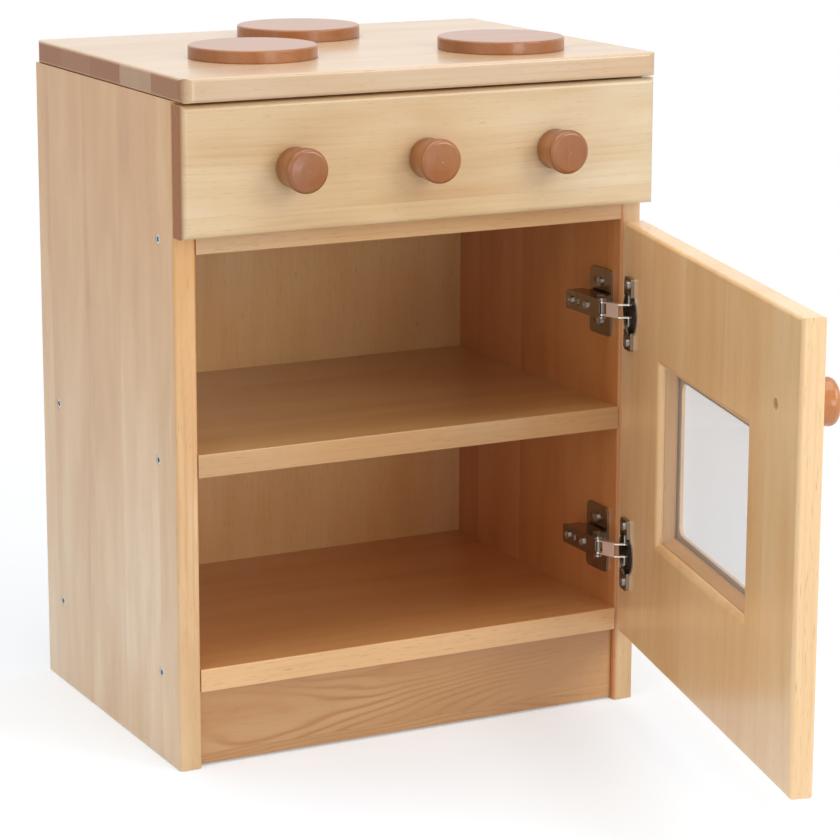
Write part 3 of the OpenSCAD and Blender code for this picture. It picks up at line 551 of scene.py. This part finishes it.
def baked(name, points, tree, values, body):
    """Runs a tree on points and returns the result as a plain mesh that rides on a body."""
    mesh = bpy.data.meshes.new(name + " points")
    mesh.from_pydata(points, [], [])
    source = bpy.data.objects.new(name + "_points", mesh)
    bpy.context.scene.collection.objects.link(source)
    modifier = source.modifiers.new("Nodes", "NODES")
    modifier.node_group = tree
    ids = {i.name: i.identifier for i in tree.interface.items_tree
           if i.item_type == "SOCKET" and i.in_out == "INPUT"}
    for label, value in values.items():
        modifier[ids[label]] = value
    graph = bpy.context.evaluated_depsgraph_get()
    result = bpy.data.meshes.new_from_object(source.evaluated_get(graph), depsgraph=graph)
    source.modifiers.remove(modifier)
    bpy.data.objects.remove(source)
    if not result.polygons:
        raise RuntimeError(name + " came out empty")
    made = bpy.data.objects.new(name, result)
    bpy.context.scene.collection.objects.link(made)
    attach(made, body)
    return made


class OVEN_OT_cabinet_screws(bpy.types.Operator):
    """Set the socket-head screws in the outer faces of both sides"""

    bl_idname = "oven.cabinet_screws"
    bl_label = "Cabinet screws"

    def execute(self, context):
        metal = context.scene.oven_metal
        zinc = plated("Zinc, cabinet screws", tuple(metal.zinc), 0.3)
        tree = screw_tree(zinc)
        rail_y, rail_z = 0.030, 0.406
        shelf_front, shelf_back = 0.035, 0.247
        middle_z, bottom_z = 0.2364, 0.069
        rows = [(rail_y, rail_z)] + [(y, z) for z in (middle_z, bottom_z) for y in (shelf_front, shelf_back)]
        height, sunk = 0.003, 0.0002
        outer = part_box("side_right")[1].x - sunk
        for side, label in ((-1, "left"), (1, "right")):
            points = [(side * (outer - height / 2), FRONT + y, z) for y, z in rows]
            made = baked("cabinet_screws_" + label, points, tree,
                         {"Head Diameter": metal.head_d, "Socket Width": metal.socket_d,
                          "Head Height": height, "Side": float(side), "Socket Sides": metal.socket_sides},
                         "carcass")
            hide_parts("screws_" + label)
        return {"FINISHED"}


class OVEN_OT_dowels(bpy.types.Operator):
    """Finish the dowels inside the joints"""

    bl_idname = "oven.dowels"
    bl_label = "Dowels"

    def execute(self, context):
        wood = context.scene.oven_wood
        for i, (node, along) in enumerate((("top_dowels", Z), ("fascia_dowels", Y), ("kick_dowels", Z),
                                           ("hotplate_dowels", Z))):
            dress(node, timber("Beech " + node.replace("_", " "), along, X, maple(wood), seed=41.0 + i,
                               stave=0.3, ring=0.002, figure=0.3, coat=0.0, rough=0.6))
        return {"FINISHED"}


class OVEN_OT_stage(bpy.types.Operator):
    """Make the white floor, the lamps, the world and the camera"""

    bl_idname = "oven.stage"
    bl_label = "Stage"

    def execute(self, context):
        scene, stage = context.scene, context.scene.oven_stage
        mesh = bpy.data.meshes.new("floor")
        reach, under = 9.0, -0.0004
        corners = [(x * reach, y * reach, under) for x, y in ((-1, -1), (1, -1), (1, 1), (-1, 1))]
        mesh.from_pydata(corners, [], [(0, 1, 2, 3)])
        floor = bpy.data.objects.new("floor", mesh)
        scene.collection.objects.link(floor)
        r = Recipe("White floor")
        path = r.node("ShaderNodeLightPath").outputs
        seen = r.math("MAXIMUM", path["Is Camera Ray"], r.math("MAXIMUM", path["Is Glossy Ray"],
                                                              path["Is Transmission Ray"]))
        spot = r.node("ShaderNodeTexCoord").outputs["Object"]
        away = r.node("ShaderNodeVectorMath", [spot], operation="LENGTH").outputs["Value"]
        fade = r.node("ShaderNodeMapRange",
                      {"Value": away, "From Min": stage.clear_from, "From Max": stage.clear_to},
                      interpolation_type="SMOOTHSTEP").outputs[0]
        matt = r.node("ShaderNodeBsdfDiffuse", [(0.74, 0.785, 0.84, 1.0)])
        glow = r.node("ShaderNodeEmission", [(1.0, 1.0, 1.0, 1.0), r.math("MULTIPLY", seen, stage.glow)])
        both = r.node("ShaderNodeAddShader", [matt.outputs[0], glow.outputs[0]])
        plain = r.node("ShaderNodeEmission", [(1.0, 1.0, 1.0, 1.0), 1.0])
        mixed = r.node("ShaderNodeMixShader",
                       [r.math("MULTIPLY", seen, fade), both.outputs[0], plain.outputs[0]])
        r.node("ShaderNodeOutputMaterial", [mixed.outputs[0]])
        mesh.materials.append(r.material)

        world = bpy.data.worlds.new("Studio")
        scene.world = world
        world.use_nodes = True
        tree = world.node_tree
        tree.nodes.clear()
        path = tree.nodes.new("ShaderNodeLightPath")
        peak = path.outputs["Is Camera Ray"]
        for other in ("Is Glossy Ray", "Is Transmission Ray"):
            most = tree.nodes.new("ShaderNodeMath")
            most.operation = "MAXIMUM"
            tree.links.new(peak, most.inputs[0])
            tree.links.new(path.outputs[other], most.inputs[1])
            peak = most.outputs[0]
        level = tree.nodes.new("ShaderNodeMapRange")
        level.inputs["To Min"].default_value = stage.sky
        level.inputs["To Max"].default_value = 1.0
        tree.links.new(peak, level.inputs["Value"])
        back = tree.nodes.new("ShaderNodeBackground")
        back.inputs["Color"].default_value = (1.0, 1.0, 1.0, 1.0)
        tree.links.new(level.outputs[0], back.inputs["Strength"])
        out = tree.nodes.new("ShaderNodeOutputWorld")
        tree.links.new(back.outputs[0], out.inputs[0])

        # Every lamp faces one point, a little in front of the cabinet
        target = Vector((0.0, 0.0085, 0.27))
        warm_white = (1.0, 0.985, 0.96)
        for name, place, size, power in (("key", (1.0, -1.36, 1.30), 1.0, stage.key),
                                         ("overhead", (-0.2, 0.1, 2.5), 2.4, stage.top),
                                         ("fill", (-2.3, -1.2, 1.2), 1.8, stage.fill),
                                         ("front", (0.25, -2.6, 0.55), 0.9, stage.front)):
            lamp = bpy.data.lights.new(name, "AREA")
            lamp.shape = "SQUARE"
            lamp.size = size
            lamp.energy = power
            lamp.color = warm_white
            made = bpy.data.objects.new(name, lamp)
            made.location = place
            made.rotation_euler = (target - Vector(place)).to_track_quat("-Z", "Y").to_euler()
            scene.collection.objects.link(made)

        data = bpy.data.cameras.new("camera")
        data.lens = stage.lens
        data.sensor_width = 36.0  # millimetres
        data.shift_x, data.shift_y = 0.05, -0.08
        camera = bpy.data.objects.new("camera", data)
        camera.location = stage.place
        camera.rotation_euler = (math.pi / 2 - stage.pitch, 0.0, -stage.heading)
        scene.collection.objects.link(camera)
        scene.camera = camera
        scene.view_settings.view_transform = "Standard"
        return {"FINISHED"}


OPERATORS = (OVEN_OT_cabinet, OVEN_OT_hotplates, OVEN_OT_knobs, OVEN_OT_door, OVEN_OT_hinges,
             OVEN_OT_cabinet_screws, OVEN_OT_dowels, OVEN_OT_stage)


class OVEN_PT_panel(bpy.types.Panel):
    """Lists the pieces of the toy oven"""

    bl_idname = "OVEN_PT_panel"
    bl_label = "Toy oven"
    bl_space_type = "VIEW_3D"
    bl_region_type = "UI"
    bl_category = "Toy oven"

    def draw(self, context):
        for group in ("oven_wood", "oven_metal", "oven_stage"):
            held = getattr(context.scene, group)
            column = self.layout.column(align=True)
            for key in held.__annotations__:
                column.prop(held, key)
        for operator in OPERATORS:
            self.layout.operator(operator.bl_idname)


CLASSES = (OvenWood, OvenMetal, OvenStage) + OPERATORS + (OVEN_PT_panel,)


def register():
    for held in CLASSES:
        bpy.utils.register_class(held)
    bpy.types.Scene.oven_wood = PointerProperty(type=OvenWood)
    bpy.types.Scene.oven_metal = PointerProperty(type=OvenMetal)
    bpy.types.Scene.oven_stage = PointerProperty(type=OvenStage)


def unregister():
    for key in ("oven_wood", "oven_metal", "oven_stage"):
        delattr(bpy.types.Scene, key)
    for held in reversed(CLASSES):
        bpy.utils.unregister_class(held)


def main():
    register()
    bpy.ops.oven.cabinet()
    bpy.ops.oven.hotplates()
    bpy.ops.oven.knobs()
    bpy.ops.oven.door()
    bpy.ops.oven.hinges()
    bpy.ops.oven.cabinet_screws()
    bpy.ops.oven.dowels()
    bpy.ops.oven.stage()


if __name__ == "__main__":
    main()
